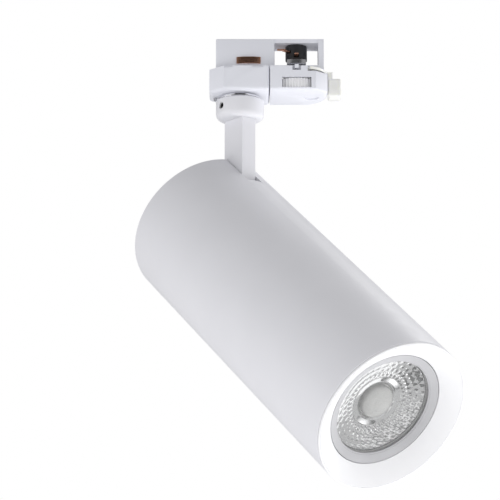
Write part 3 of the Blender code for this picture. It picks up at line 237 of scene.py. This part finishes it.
def noise(tree, scale, detail=3.0, roughness=0.5, stretch=None):
    """Noise that rides on the object, drawn out along an axis if asked."""
    place = tree.nodes.new("ShaderNodeTexCoord")
    texture = tree.nodes.new("ShaderNodeTexNoise")
    texture.inputs["Scale"].default_value = scale
    texture.inputs["Detail"].default_value = detail
    texture.inputs["Roughness"].default_value = roughness
    source = place.outputs["Object"]
    if stretch:
        mapping = tree.nodes.new("ShaderNodeMapping")
        mapping.inputs["Scale"].default_value = stretch
        tree.links.new(source, mapping.inputs["Vector"])
        source = mapping.outputs["Vector"]
    tree.links.new(source, texture.inputs["Vector"])
    return texture.outputs["Fac"]


def ramp(tree, source, *stops):
    """Maps a value through colours or greys: each stop is (position, colour)."""
    node = tree.nodes.new("ShaderNodeValToRGB")
    elements = node.color_ramp.elements
    for index, (position, colour) in enumerate(stops):
        element = elements[index] if index < 2 else elements.new(position)
        element.position = position
        element.color = (*colour, 1) if isinstance(colour, tuple) else (colour, colour, colour, 1)
    tree.links.new(source, node.inputs["Fac"])
    return node.outputs["Color"]


def bump(tree, shader, height, distance, strength=0.5):
    """Relief on the shader's normal, on top of any that is there."""
    node = tree.nodes.new("ShaderNodeBump")
    node.inputs["Strength"].default_value = strength
    node.inputs["Distance"].default_value = distance
    tree.links.new(height, node.inputs["Height"])
    previous = shader.inputs["Normal"].links
    if previous:
        tree.links.new(previous[0].from_socket, node.inputs["Normal"])
    tree.links.new(node.outputs["Normal"], shader.inputs["Normal"])


def coated(name, colour, roughness, grain_scale, grain_height, metallic=0.0, spread=0.03, stretch=None):
    """A coat, moulding or plain metal: fine grain in the bump, slow changes in tone and in gloss."""
    material, tree, shader = nodes_of(name)
    shader.inputs["Metallic"].default_value = metallic
    dark = tuple(max(part * (1 - spread), 0) for part in colour)
    tone = ramp(tree, noise(tree, 38, 4), (0.3, dark), (0.7, colour))
    tree.links.new(tone, shader.inputs["Base Color"])
    gloss = ramp(tree, noise(tree, 160, 2), (0.25, roughness * 0.86), (0.75, min(roughness * 1.14, 1)))
    tree.links.new(gloss, shader.inputs["Roughness"])
    bump(tree, shader, noise(tree, grain_scale, 2, 0.45, stretch), grain_height)
    return material


def polished(name, colour, roughness, scratches):
    """Bright metal with hairline scratches and a little haze."""
    material, tree, shader = nodes_of(name)
    shader.inputs["Metallic"].default_value = 1
    dark = tuple(part * 0.96 for part in colour)
    tree.links.new(ramp(tree, noise(tree, 60, 3), (0.3, dark), (0.7, colour)), shader.inputs["Base Color"])
    haze = ramp(tree, noise(tree, 900, 4, 0.6, (1, 1, 6)), (0.35, roughness), (0.75, roughness * 2))
    tree.links.new(haze, shader.inputs["Roughness"])
    bump(tree, shader, noise(tree, 1400, 3, 0.6, (1, 1, 9)), scratches, 0.35)
    return material


MATERIALS = {
    "housing_white": coated("housing_white", (0.78, 0.78, 0.82), 0.42, 2600, 0.00002, spread=0.02),
    "bezel_white": coated("bezel_white", (0.9, 0.9, 0.92), 0.36, 2400, 0.000015, spread=0.015),
    "arm_white": coated("arm_white", (0.78, 0.78, 0.82), 0.38, 2600, 0.00002, spread=0.02),
    "adapter_white": coated("adapter_white", (0.78, 0.79, 0.85), 0.46, 5200, 0.000025, spread=0.02),
    "knurled_white": coated("knurled_white", (0.86, 0.86, 0.88), 0.4, 5200, 0.00002),
    "black_plastic": coated("black_plastic", (0.022, 0.022, 0.024), 0.45, 5200, 0.00002, spread=0.2),
    "chrome": polished("chrome", (0.86, 0.86, 0.88), 0.05, 0.000004),
    "steel": coated("steel", (0.62, 0.62, 0.64), 0.28, 3200, 0.00001, metallic=1, spread=0.08),
    "brass": coated("brass", (0.8, 0.58, 0.27), 0.3, 3200, 0.00001, metallic=1, spread=0.1),
    "copper": coated("copper", (0.86, 0.47, 0.32), 0.24, 3200, 0.00001, metallic=1, spread=0.1),
    "silicone": coated("silicone", (0.6, 0.6, 0.6), 0.45, 3000, 0.00002),
    "aluminium": coated("aluminium", (0.76, 0.77, 0.78), 0.34, 2400, 0.00001, metallic=1, spread=0.05,
                        stretch=(1, 1, 0.1)),
    "trim_grey": coated("trim_grey", (0.54, 0.54, 0.56), 0.5, 1300, 0.0002, spread=0.12),
}


def mirror_material():
    """Metal film on moulded plastic: bright, with a faint haze."""
    material, tree, shader = nodes_of("mirror")
    shader.inputs["Metallic"].default_value = 1
    tree.links.new(ramp(tree, noise(tree, 90, 3), (0.3, (0.88, 0.88, 0.89)), (0.7, (0.95, 0.95, 0.96))),
                   shader.inputs["Base Color"])
    tree.links.new(ramp(tree, noise(tree, 420, 3), (0.3, 0.03), (0.8, 0.1)), shader.inputs["Roughness"])
    bump(tree, shader, noise(tree, 900, 2), 0.000006, 0.4)
    return material


def glass_material():
    """Thin clear glass: mostly see-through, with a faint reflection and a little dust."""
    material, tree, shader = nodes_of("clear_glass")
    shader.inputs["Base Color"].default_value = (0.97, 0.98, 0.98, 1)
    shader.inputs["IOR"].default_value = 1.5
    tree.links.new(ramp(tree, noise(tree, 70, 3), (0.4, 0.02), (0.9, 0.06)), shader.inputs["Roughness"])
    tree.links.new(ramp(tree, noise(tree, 260, 5, 0.65), (0.4, 0.07), (0.85, 0.13)), shader.inputs["Alpha"])
    return material


def dome_material():
    """Milky silicone with a soft sheen."""
    material, tree, shader = nodes_of("led_dome")
    shader.inputs["Subsurface Weight"].default_value = 0.35
    shader.inputs["Subsurface Radius"].default_value = (0.002, 0.002, 0.002)
    shader.inputs["Specular IOR Level"].default_value = 1.0
    tree.links.new(ramp(tree, noise(tree, 300, 4), (0.3, (0.38, 0.38, 0.375)), (0.7, (0.44, 0.44, 0.43))),
                   shader.inputs["Base Color"])
    tree.links.new(ramp(tree, noise(tree, 500, 2), (0.3, 0.12), (0.7, 0.2)), shader.inputs["Roughness"])
    bump(tree, shader, noise(tree, 3000, 3), 0.000002)
    return material


def lever_material():
    """Translucent natural plastic."""
    material, tree, shader = nodes_of("lever_plastic")
    shader.inputs["Subsurface Weight"].default_value = 0.5
    shader.inputs["Subsurface Radius"].default_value = (0.006, 0.006, 0.005)
    shader.inputs["Coat Weight"].default_value = 0.25
    shader.inputs["Coat Roughness"].default_value = 0.15
    tree.links.new(ramp(tree, noise(tree, 60, 3), (0.3, (0.88, 0.88, 0.85)), (0.7, (0.93, 0.93, 0.9))),
                   shader.inputs["Base Color"])
    tree.links.new(ramp(tree, noise(tree, 200, 2), (0.3, 0.28), (0.7, 0.36)), shader.inputs["Roughness"])
    bump(tree, shader, noise(tree, 3600, 2), 0.000015)
    return material


MATERIALS["mirror"] = mirror_material()
MATERIALS["clear_glass"] = glass_material()
MATERIALS["led_dome"] = dome_material()
MATERIALS["lever_plastic"] = lever_material()

slot_class = {slot["slot"]: slot for slot in frame["record"]["materials"]}
slot_of = {part["node"]: part["material_slot"] for part in frame["record"]["subparts"]}


def material_for(slot_name):
    """The material written for a slot, or one made from the record's own colour and class."""
    if slot_name not in MATERIALS:
        facts = slot_class[slot_name]
        metal = facts["class"] in ("steel", "brushed_steel", "brass", "aluminium", "chrome")
        MATERIALS[slot_name] = coated(slot_name, tuple(facts["base_color"]), 0.4, 3200, 0.00002,
                                      metallic=1.0 if metal else 0.0, spread=0.08)
    return MATERIALS[slot_name]


body_of_node = {}
for body_name, names in frame["record"]["behaviour"]["bodies"].items():
    for node_name in names:
        body_of_node[node_name] = body_name


def refined(node, edge, angle, segments=2):
    """The CAD node again, smooth-shaded, standing for the node.

    The edge is the width in millimetres of the rounding. Without it, the node's own edges are kept."""
    source = frame["nodes"][node]
    bm = bmesh.new()
    bm.from_mesh(source.data)
    bm.transform(source.matrix_world)
    bmesh.ops.remove_doubles(bm, verts=bm.verts, dist=2e-6)
    bmesh.ops.dissolve_limit(bm, angle_limit=math.radians(1.2), verts=bm.verts, edges=bm.edges)
    obj = add_object("fine_" + node, bm, WORLD, angle)
    if edge:
        step = obj.modifiers.new("edges", "BEVEL")
        step.width = edge * MM
        step.segments = segments
        step.limit_method = "ANGLE"
        step.angle_limit = math.radians(angle)
        step.harden_normals = True
        step.use_clamp_overlap = True
    else:
        obj.modifiers.new("flat_faces", "WEIGHTED_NORMAL").keep_sharp = True
    return piece(obj, body_of_node[node], material_for(slot_of[node]), slot_of[node], node)


# Every CAD node starts with its slot's material; the visible ones are then refined or replaced
for node_name, node in frame["nodes"].items():
    node.data.materials.clear()
    node.data.materials.append(material_for(slot_of[node_name]))


# ---------------------------------------------------------------- housing and front

def housing_tube():
    """The tube with its rounded rims and the slot that lets the arm fold in."""
    bore = TUBE_RADIUS - TUBE_WALL
    edge = 0.5 * MM
    front = arc((TUBE_RADIUS - edge, TUBE_FRONT_Z - edge), edge, math.pi / 2, 0, 4)
    rear = arc((TUBE_RADIUS - edge, REAR_Z + edge), edge, 0, -math.pi / 2, 4)
    tube = turned("housing_body", front + rear + [(bore, REAR_Z), (bore, TUBE_FRONT_Z)], LAMP, 192)
    half = ARM_THICKNESS / 2 + 0.4 * MM
    slot = block("slot_tool", (0.6 * TUBE_RADIUS, -half, REAR_Z - 3 * MM),
                 (TUBE_RADIUS + 3 * MM, half, ARM_WIDTH / 2 + 0.5 * MM), LAMP)
    apply_boolean(tube, slot)
    piece(tube, "lamp", material_for("housing_white"), "housing_white", "housing_tube")


def front_bezel():
    """White lip in front of the tube, a fine groove, and the sloping baffle inside it."""
    slope = BAFFLE_DEPTH / (LIP_RADIUS - OPTIC_RADIUS)
    outer = TUBE_RADIUS - 0.25 * MM
    low = RIM_Z - 1.15 * MM
    skirt = TUBE_RADIUS - TUBE_WALL - 0.3 * MM
    inner = skirt - 1.3 * MM
    edge = 0.35 * MM
    lip = arc((outer - edge, RIM_Z - edge), edge, math.pi / 2, 0, 4)
    rim = [(LIP_RADIUS + 0.46 * MM, RIM_Z), (LIP_RADIUS + 0.4 * MM, RIM_Z - 0.4 * MM),
           (LIP_RADIUS + 0.12 * MM, RIM_Z - 0.4 * MM), (LIP_RADIUS + 0.06 * MM, RIM_Z - 0.04 * MM),
           (LIP_RADIUS - 0.2 * MM, RIM_Z - 0.16 * MM)]
    foot = [(OPTIC_RADIUS + 0.3 * MM, RIM_Z - BAFFLE_DEPTH + 0.2 * MM),
            (OPTIC_RADIUS, RIM_Z - BAFFLE_DEPTH - 0.1 * MM)]
    back = [(OPTIC_RADIUS, RIM_Z - BAFFLE_DEPTH - 1.9 * MM),
            (inner, RIM_Z - (LIP_RADIUS - inner) * slope - 1.3 * MM), (inner, RIM_Z - 9 * MM),
            (skirt, RIM_Z - 9 * MM), (skirt, low), (outer, low)]
    profile = list(reversed(lip)) + rim + foot + back
    bezel = turned("bezel_and_baffle", profile, LAMP, 192, 25)
    piece(bezel, "lamp", material_for("bezel_white"), "bezel_white", "front_bezel")


def trim_ring():
    """Grey ring round the optic, with a small bright step at its inner edge."""
    radius = OPTIC_RADIUS - 0.3 * MM
    outer_top = RIM_Z - BAFFLE_DEPTH - RING_GAP
    bottom = outer_top - RING_HEIGHT
    inner_top = bottom + 0.7 * MM
    edge = 0.25 * MM
    profile = [(radius - edge, outer_top), (radius, outer_top - edge), (radius, bottom),
               (MOUTH_RADIUS, bottom), (MOUTH_RADIUS, inner_top - edge), (MOUTH_RADIUS + edge, inner_top),
               (MOUTH_RADIUS + 0.75 * MM, inner_top + 0.02 * MM),
               (MOUTH_RADIUS + 0.9 * MM, inner_top + 0.32 * MM)]
    ring = turned("grey_ring", profile, LAMP, 192, 25)
    piece(ring, "lamp", material_for("trim_grey"), "trim_grey", "trim_ring")


def facet_lift(radius, step, rows):
    """How far a point of the dish stands out: the step's crest, or the bulge of the facet it lies on."""
    if abs(radius - STEP_CREST) < 1e-6:
        return STEP_HEIGHT
    if radius <= FACET_START + 0.01 * MM:
        return 0.0
    width = rows[1] - rows[0]
    row = min(int((radius - FACET_START) / width - 1e-6), FACET_ROWS - 1)
    share = (radius - rows[row]) / width
    turn = (step / PARTS_ACROSS_FACET + 0.5 * (row % 2)) % 1
    return FACET_BULGE * 4 * share * (1 - share) * 4 * turn * (1 - turn)


def reflector():
    """Metallised dish: smooth inner cone, a fine step, then rows of facets out to the mouth."""
    mouth_z = RIM_Z - BAFFLE_DEPTH - RING_GAP - RING_HEIGHT - SEAT_GAP - GLASS_THICKNESS - SEAT_GAP
    neck_z = mouth_z - DISH_DEPTH
    steps = FACET_COLUMNS * PARTS_ACROSS_FACET
    rows = [FACET_START + (MOUTH_RADIUS - FACET_START) * row / FACET_ROWS for row in range(FACET_ROWS + 1)]
    radii = [NECK_RADIUS, 12.2 * MM, 14.6 * MM, STEP_CREST, FACET_START]
    for low, high in zip(rows, rows[1:]):
        radii += [low + (high - low) * part / PARTS_ACROSS_FACET
                  for part in range(1, PARTS_ACROSS_FACET + 1)]
    bm = bmesh.new()
    rings = []
    for radius in radii:
        share = (radius - NECK_RADIUS) / (MOUTH_RADIUS - NECK_RADIUS)
        level = neck_z + (mouth_z - neck_z) * share ** 1.5
        turns = [2 * math.pi * step / steps for step in range(steps)]
        rings.append([bm.verts.new((radius * math.cos(turn), radius * math.sin(turn),
                                    level + facet_lift(radius, step, rows)))
                      for step, turn in enumerate(turns)])
    for inner, outer in zip(rings, rings[1:]):
        for step in range(steps):
            after = (step + 1) % steps
            bm.faces.new((inner[step], outer[step], outer[after], inner[after]))
    dish = add_object("faceted_dish", bm, LAMP, 16)
    wall = dish.modifiers.new("wall", "SOLIDIFY")
    wall.thickness = 0.6 * MM
    wall.offset = -1
    piece(dish, "lamp", material_for("mirror"), "mirror", "reflector")
    outer = MOUTH_RADIUS + 3 * MM
    inner = MOUTH_RADIUS + 0.05 * MM
    low = mouth_z - 0.6 * MM
    profile = [(outer, mouth_z), (outer, low), (inner, low), (inner, mouth_z)]
    flange = turned("dish_flange", profile, LAMP, 128)
    piece(flange, "lamp", material_for("silicone"), "mirror")


def led_dome():
    """Frosted silicone dome on its shoulder."""
    cap = []
    steps = 12
    for step in range(steps + 1):
        angle = math.pi / 2 * step / steps
        cap.append((DOME_RADIUS * math.sin(angle),
                    DOME_SHOULDER_Z + (DOME_TOP_Z - DOME_SHOULDER_Z) * math.cos(angle)))
    edge = 0.3 * MM
    profile = cap + [(DOME_RADIUS, DOME_BASE_Z + edge), (DOME_RADIUS - edge, DOME_BASE_Z), (0, DOME_BASE_Z)]
    dome = turned("frosted_led_dome", profile, LAMP, 96, 50)
    piece(dome, "lamp", material_for("led_dome"), "led_dome", "led_dome")


housing_tube()
front_bezel()
trim_ring()
reflector()
led_dome()


# ---------------------------------------------------------------- other visible pieces

def knurled_wheel():
    """Phase selector wheel with rounded ribs all round."""
    points = RIBS * 6
    outline = []
    for index in range(points):
        angle = 2 * math.pi * index / points
        radius = WHEEL_RADIUS - RIB_DEPTH * abs(math.sin(angle * RIBS / 2)) ** 4
        outline.append((radius * math.cos(angle), radius * math.sin(angle)))
    wheel = slab("knurled_wheel", outline, WHEEL_BOTTOM_Z, WHEEL_TOP_Z, PIVOT, 0.3 * MM, 50)
    shaft = cylinder("shaft", SHAFT_RADIUS, (0, 0, WHEEL_TOP_Z - 1 * MM), (0, 0, SHAFT_TOP_Z), PIVOT)
    apply_boolean(wheel, shaft, "UNION")
    piece(wheel, "phase_selector", material_for("knurled_white"), "knurled_white", "phase_wheel")


knurled_wheel()
refined("adapter_shell_left", 0.2, 40)
refined("adapter_shell_right", 0.2, 40)
refined("track_mast", 0.3, 35)
refined("lock_lever", 0.35, 40, segments=3)
refined("collar", 0.2, 40)
refined("swivel_arm", 0.0, 40)
refined("swivel_ring", 0.25, 40)
refined("swivel_stop", 0.15, 40)
refined("rear_cap", 0.25, 40)
for name in ("tilt_bracket", "lock_wing", "grub_screw", "tilt_nut", "rear_cap_screw_1",
             "rear_cap_screw_2", "earth_spring_front", "earth_spring_rear", "neutral_contact",
             "live_contact_1", "live_contact_2", "live_contact_3", "phase_drum", "lock_spindle"):
    refined(name, 0.12, 35)


# ---------------------------------------------------------------- floor, lights and camera

def floor():
    """A pale floor far below, which glows a little so that it stays pale, and which metal doesn't show."""
    bm = bmesh.new()
    bmesh.ops.create_grid(bm, x_segments=1, y_segments=1, size=40)
    ground = add_object("floor", bm, Matrix.Translation((0, 0, FLOOR_Z)))
    material, tree, shader = nodes_of("floor_paint")
    tree.links.new(ramp(tree, noise(tree, 3, 2), (0.3, (0.9, 0.9, 0.9)), (0.7, (0.92, 0.92, 0.92))),
                   shader.inputs["Base Color"])
    shader.inputs["Roughness"].default_value = 0.9
    shader.inputs["Emission Color"].default_value = (1, 1, 1, 1)
    shader.inputs["Emission Strength"].default_value = 0.42
    ground.data.materials.append(material)
    ground.visible_glossy = False


def light(name, place, target, size, watts, mirrored=True):
    """A square softbox. With mirrored off, bright metal and glass don't show it."""
    lamp = bpy.data.lights.new(name, "AREA")
    lamp.energy = watts
    lamp.size = size
    obj = bpy.data.objects.new(name, lamp)
    bpy.context.scene.collection.objects.link(obj)
    obj.location = place
    obj.rotation_euler = (Vector(target) - Vector(place)).to_track_quat("-Z", "Y").to_euler()
    obj.visible_glossy = mirrored
    obj.visible_transmission = mirrored


def card(name, place, target, width, height, glow=0.0, soft=False):
    """A black or glowing card that only reflections see, to give bright metal its light and dark.

    A soft card fades out from its middle."""
    bm = bmesh.new()
    bmesh.ops.create_grid(bm, x_segments=1, y_segments=1, size=0.5)
    turn = (Vector(target) - Vector(place)).to_track_quat("-Z", "Y").to_matrix().to_4x4()
    sheet = add_object(name, bm, Matrix.Translation(place) @ turn @ Matrix.Diagonal((width, height, 1, 1)))
    material, tree, shader = nodes_of(name)
    shader.inputs["Base Color"].default_value = (0.01, 0.01, 0.01, 1)
    shader.inputs["Roughness"].default_value = 1
    shader.inputs["Specular IOR Level"].default_value = 0
    shader.inputs["Emission Color"].default_value = (1, 1, 1, 1)
    shader.inputs["Emission Strength"].default_value = glow
    if soft:
        point = tree.nodes.new("ShaderNodeNewGeometry")
        from_middle = tree.nodes.new("ShaderNodeMapping")
        from_middle.vector_type = "TEXTURE"
        from_middle.inputs["Location"].default_value = place
        from_middle.inputs["Scale"].default_value = (width / 2, width / 2, width / 2)
        fall = tree.nodes.new("ShaderNodeTexGradient")
        fall.gradient_type = "SPHERICAL"
        strength = tree.nodes.new("ShaderNodeMath")
        strength.operation = "MULTIPLY"
        strength.inputs[1].default_value = glow
        tree.links.new(point.outputs["Position"], from_middle.inputs["Vector"])
        tree.links.new(from_middle.outputs["Vector"], fall.inputs["Vector"])
        tree.links.new(fall.outputs["Fac"], strength.inputs[0])
        tree.links.new(strength.outputs["Value"], shader.inputs["Emission Strength"])
    sheet.data.materials.append(material)
    sheet.visible_camera = False
    sheet.visible_diffuse = False
    sheet.visible_shadow = False


def studio_world(ambient, backdrop):
    """Even surround light. Where the camera looks past the object it sees a brighter white."""
    world = bpy.data.worlds.new("studio")
    bpy.context.scene.world = world
    world.use_nodes = True
    tree = world.node_tree
    surround = tree.nodes["Background"]
    surround.inputs["Color"].default_value = (1, 1, 1, 1)
    surround.inputs["Strength"].default_value = ambient
    seen = tree.nodes.new("ShaderNodeBackground")
    seen.inputs["Color"].default_value = (1, 1, 1, 1)
    seen.inputs["Strength"].default_value = backdrop
    mix = tree.nodes.new("ShaderNodeMixShader")
    path = tree.nodes.new("ShaderNodeLightPath")
    tree.links.new(path.outputs["Is Camera Ray"], mix.inputs["Fac"])
    tree.links.new(surround.outputs["Background"], mix.inputs[1])
    tree.links.new(seen.outputs["Background"], mix.inputs[2])
    tree.links.new(mix.outputs["Shader"], tree.nodes["World Output"].inputs["Surface"])


floor()
studio_world(ambient=0.4, backdrop=1.0)
MIDDLE = (0.03, -0.03, -0.12)
LAMP_MIDDLE = (0.08, -0.1, -0.2)

# Name, place, size in metres, watts, and whether bright metal shows it
for name, place, size, watts, mirrored in (
        ("left_low", (-1.3, -0.5, -0.55), 1.1, 6.3, True),
        ("beam_side", (0.95, 0.35, -0.85), 0.75, 8.8, False),
        ("front_low", (0.35, -1.5, -0.8), 1.2, 1.5, False),
        ("front_right", (1.15, -1.3, 0.0), 0.9, 5.5, False),
        ("top_right", (0.9, 0.5, 0.75), 0.8, 7, True)):
    light(name, place, MIDDLE, size, watts, mirrored)

card("bright_behind", (0.72, 0.62, -0.62), LAMP_MIDDLE, 0.62, 0.9, 1.15)
card("spark_white", (0.602, 0.111, -0.913), LAMP_MIDDLE, 0.2, 0.2, 2.4, soft=True)
card("spark_warm", (0.817, -0.031, -0.716), LAMP_MIDDLE, 0.2, 0.2, 2.0, soft=True)
for step in range(7):
    # Dim and bright stripes in front of the dish and below it, which its facets break up
    slope = math.radians(24 + 8 * step)
    way = Vector((0.93 * math.cos(slope), -0.36, -0.93 * math.sin(slope)))
    glow = 0.12 if step % 2 else 0.8
    card(f"stripe_{step}", Vector(LAMP_MIDDLE) + 0.9 * way, LAMP_MIDDLE, 0.55, 0.065, glow)
card("dark_front", (0.0, -2.2, 0.55), MIDDLE, 2.4, 1.0)
card("dark_right", (1.1, -0.02, -0.3), LAMP_MIDDLE, 0.3, 0.3)
card("dark_below", (0.32, 0.05, -1.0), LAMP_MIDDLE, 0.25, 0.3)

camera_data = bpy.data.cameras.new("camera")
camera_data.lens = LENS
camera_data.sensor_width = SENSOR_WIDTH
camera_data.clip_start = 0.01
camera = bpy.data.objects.new("camera", camera_data)
bpy.context.scene.collection.objects.link(camera)
camera.location = CAMERA_PLACE
camera.rotation_euler = (math.radians(90) + CAMERA_PITCH, 0, 0)
bpy.context.scene.camera = camera
bpy.context.scene.view_settings.view_transform = "Standard"
